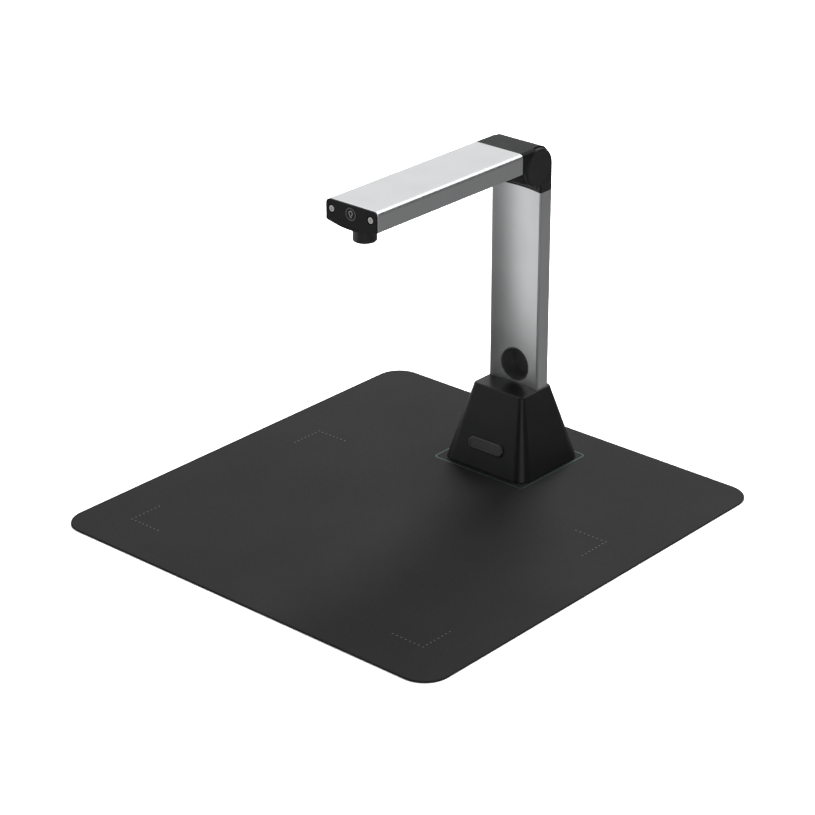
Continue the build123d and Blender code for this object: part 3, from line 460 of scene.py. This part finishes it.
def mark_button():
    """Ring and lamp sign on the round button."""
    low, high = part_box("light_button")
    middle = (low + high) / 2
    radius = (high.z - low.z) / 2 - FLANGE
    face = Sheet((middle.x, low.y, middle.z), (1, 0, 0), (0, 0, 1))
    ring = bmesh.new()
    path = circle((0, 0), radius - RING_INSET, RING_SIDES)
    add_ribbon(ring, face, path, RING_W, SIGN_SINK, SIGN_PROUD, True)
    piece("button_ring", "button", ring, ink("ink_ring", (0.055, 0.055, 0.058)))

    sign = bmesh.new()
    bulb = arc((0, BULB_RISE), BULB_R, 235, -55, 30)
    path = [(-NECK_HALF, -NECK_DROP)] + bulb + [(NECK_HALF, -NECK_DROP)]
    add_ribbon(sign, face, path, BULB_W, SIGN_SINK, SIGN_PROUD, False)
    for drop, half in SOCKET_LINES:
        add_ribbon(sign, face, [(-half, -drop), (half, -drop)], SOCKET_W, SIGN_SINK, SIGN_PROUD, False)
    piece("button_lamp_sign", "button", sign, ink("ink_sign", (0.30, 0.30, 0.31)))


# ---------------------------------------------------------------- floor, backdrop and light
STAGE_R = 26.0
FLOOR_GAP = 0.1 * MM                                 # between the floor and the object
FLOOR_DARK, FLOOR_LIGHT = (0.90, 0.90, 0.905, 1), (0.915, 0.915, 0.92, 1)
BACKDROP_LEVEL = 0.96


def stage_piece(name, mesh, material):
    made = bmesh_to_object(name, mesh)
    made.data.materials.append(material)
    return made


def make_stage():
    """Pale floor, and a white dome that only the camera sees."""
    low = cad_box[0]
    paint = Shader("floor_paint")
    paint.colour(paint.mix(paint.noise(0.6, 2), FLOOR_DARK, FLOOR_LIGHT))
    paint.set(Roughness=0.9, Specular_IOR_Level=0.1)
    disc = bmesh.new()
    bmesh.ops.create_circle(disc, cap_ends=True, segments=96, radius=STAGE_R)
    bmesh.ops.translate(disc, vec=(0, 0, low.z - FLOOR_GAP), verts=disc.verts)
    floor = stage_piece("floor", disc, paint.material)
    floor.visible_glossy = False

    glow = Shader("backdrop_paint")
    glow.set(Base_Color=(0, 0, 0, 1), Emission_Color=(1, 1, 1, 1), Emission_Strength=BACKDROP_LEVEL)
    dome = bmesh.new()
    bmesh.ops.create_uvsphere(dome, u_segments=48, v_segments=24, radius=STAGE_R)
    backdrop = stage_piece("backdrop", dome, glow.material)
    for ray in ("diffuse", "glossy", "transmission", "volume_scatter", "shadow"):
        setattr(backdrop, "visible_" + ray, False)


# Soft patches of studio light: azimuth, elevation, full within, fades out by (degrees), brightness
PATCHES = (
    (0, 90, 34, 62, 0.42),       # overhead
    (-142, 32, 22, 46, 0.91),    # rear left, seen in the arm's top
    (150, 45, 10, 20, 3.3),      # rear right, along the arm's upper edge
    (-58, 44, 11, 24, 1.3),      # front left, seen in the arm's front edge
    (-36, 4, 10, 30, 0.60),      # front, seen in the base's front face
    (50, 14, 8, 22, 1.7),        # beside the camera, along rounded edges
    (50, -28, 16, 44, 0.24),     # below the camera, in the column's front edge
    (-80, -22, 26, 54, 0.72),    # low left, seen in the column's hollow face
    (-10, -35, 15, 50, 0.12),    # low front
    (150, -26, 18, 46, 0.19),    # low right
    (0, -90, 40, 70, 0.20),      # below
)
AMBIENT = 0.03
LIGHT_TINT = (0.985, 0.993, 1.0, 1)


def make_world():
    """Dim ambient light plus the soft patches, each a smooth spot around its heading."""
    world = bpy.data.worlds.new("studio")
    scene.world = world
    world.use_nodes = True
    tree = world.node_tree
    background = next(n for n in tree.nodes if n.type == "BACKGROUND")
    direction = tree.nodes.new("ShaderNodeTexCoord").outputs["Generated"]
    total = None
    for azimuth, elevation, inner, outer, value in PATCHES:
        dot = tree.nodes.new("ShaderNodeVectorMath")
        dot.operation = "DOT_PRODUCT"
        tree.links.new(direction, dot.inputs[0])
        dot.inputs[1].default_value = heading(azimuth, elevation)
        soft = tree.nodes.new("ShaderNodeMapRange")
        soft.interpolation_type = "SMOOTHSTEP"
        soft.inputs["From Min"].default_value = cos(radians(outer))
        soft.inputs["From Max"].default_value = cos(radians(inner))
        soft.inputs["To Max"].default_value = value
        tree.links.new(dot.outputs["Value"], soft.inputs["Value"])
        add = tree.nodes.new("ShaderNodeMath")
        add.operation = "ADD"
        add.inputs[0].default_value = AMBIENT
        if total is not None:
            tree.links.new(total, add.inputs[0])
        tree.links.new(soft.outputs["Result"], add.inputs[1])
        total = add.outputs["Value"]
    tree.links.new(total, background.inputs["Strength"])
    background.inputs["Color"].default_value = LIGHT_TINT


LIT_POINT = Vector((0, 0, 0.1))


def area_light(name, azimuth, elevation, distance, size, power):
    """Disk lamp that faces the lit point; it lights surfaces but isn't seen or mirrored."""
    data = bpy.data.lights.new(name, "AREA")
    data.shape, data.size, data.energy = "DISK", size, power
    lamp = bpy.data.objects.new(name, data)
    scene.collection.objects.link(lamp)
    towards = heading(azimuth, elevation)
    lamp.location = LIT_POINT + towards * distance
    lamp.rotation_mode = "QUATERNION"
    lamp.rotation_quaternion = towards.to_track_quat("Z", "Y")
    lamp.visible_camera = False
    lamp.visible_glossy = False


make_camera()
dress_nodes()
print_mat()
mark_button()
make_stage()
make_world()
area_light("key_light", azimuth=-154, elevation=45, distance=3.2, size=1.3, power=248)
area_light("side_light", azimuth=118, elevation=42, distance=1.4, size=1.0, power=5)
scene.view_settings.view_transform = "Standard"
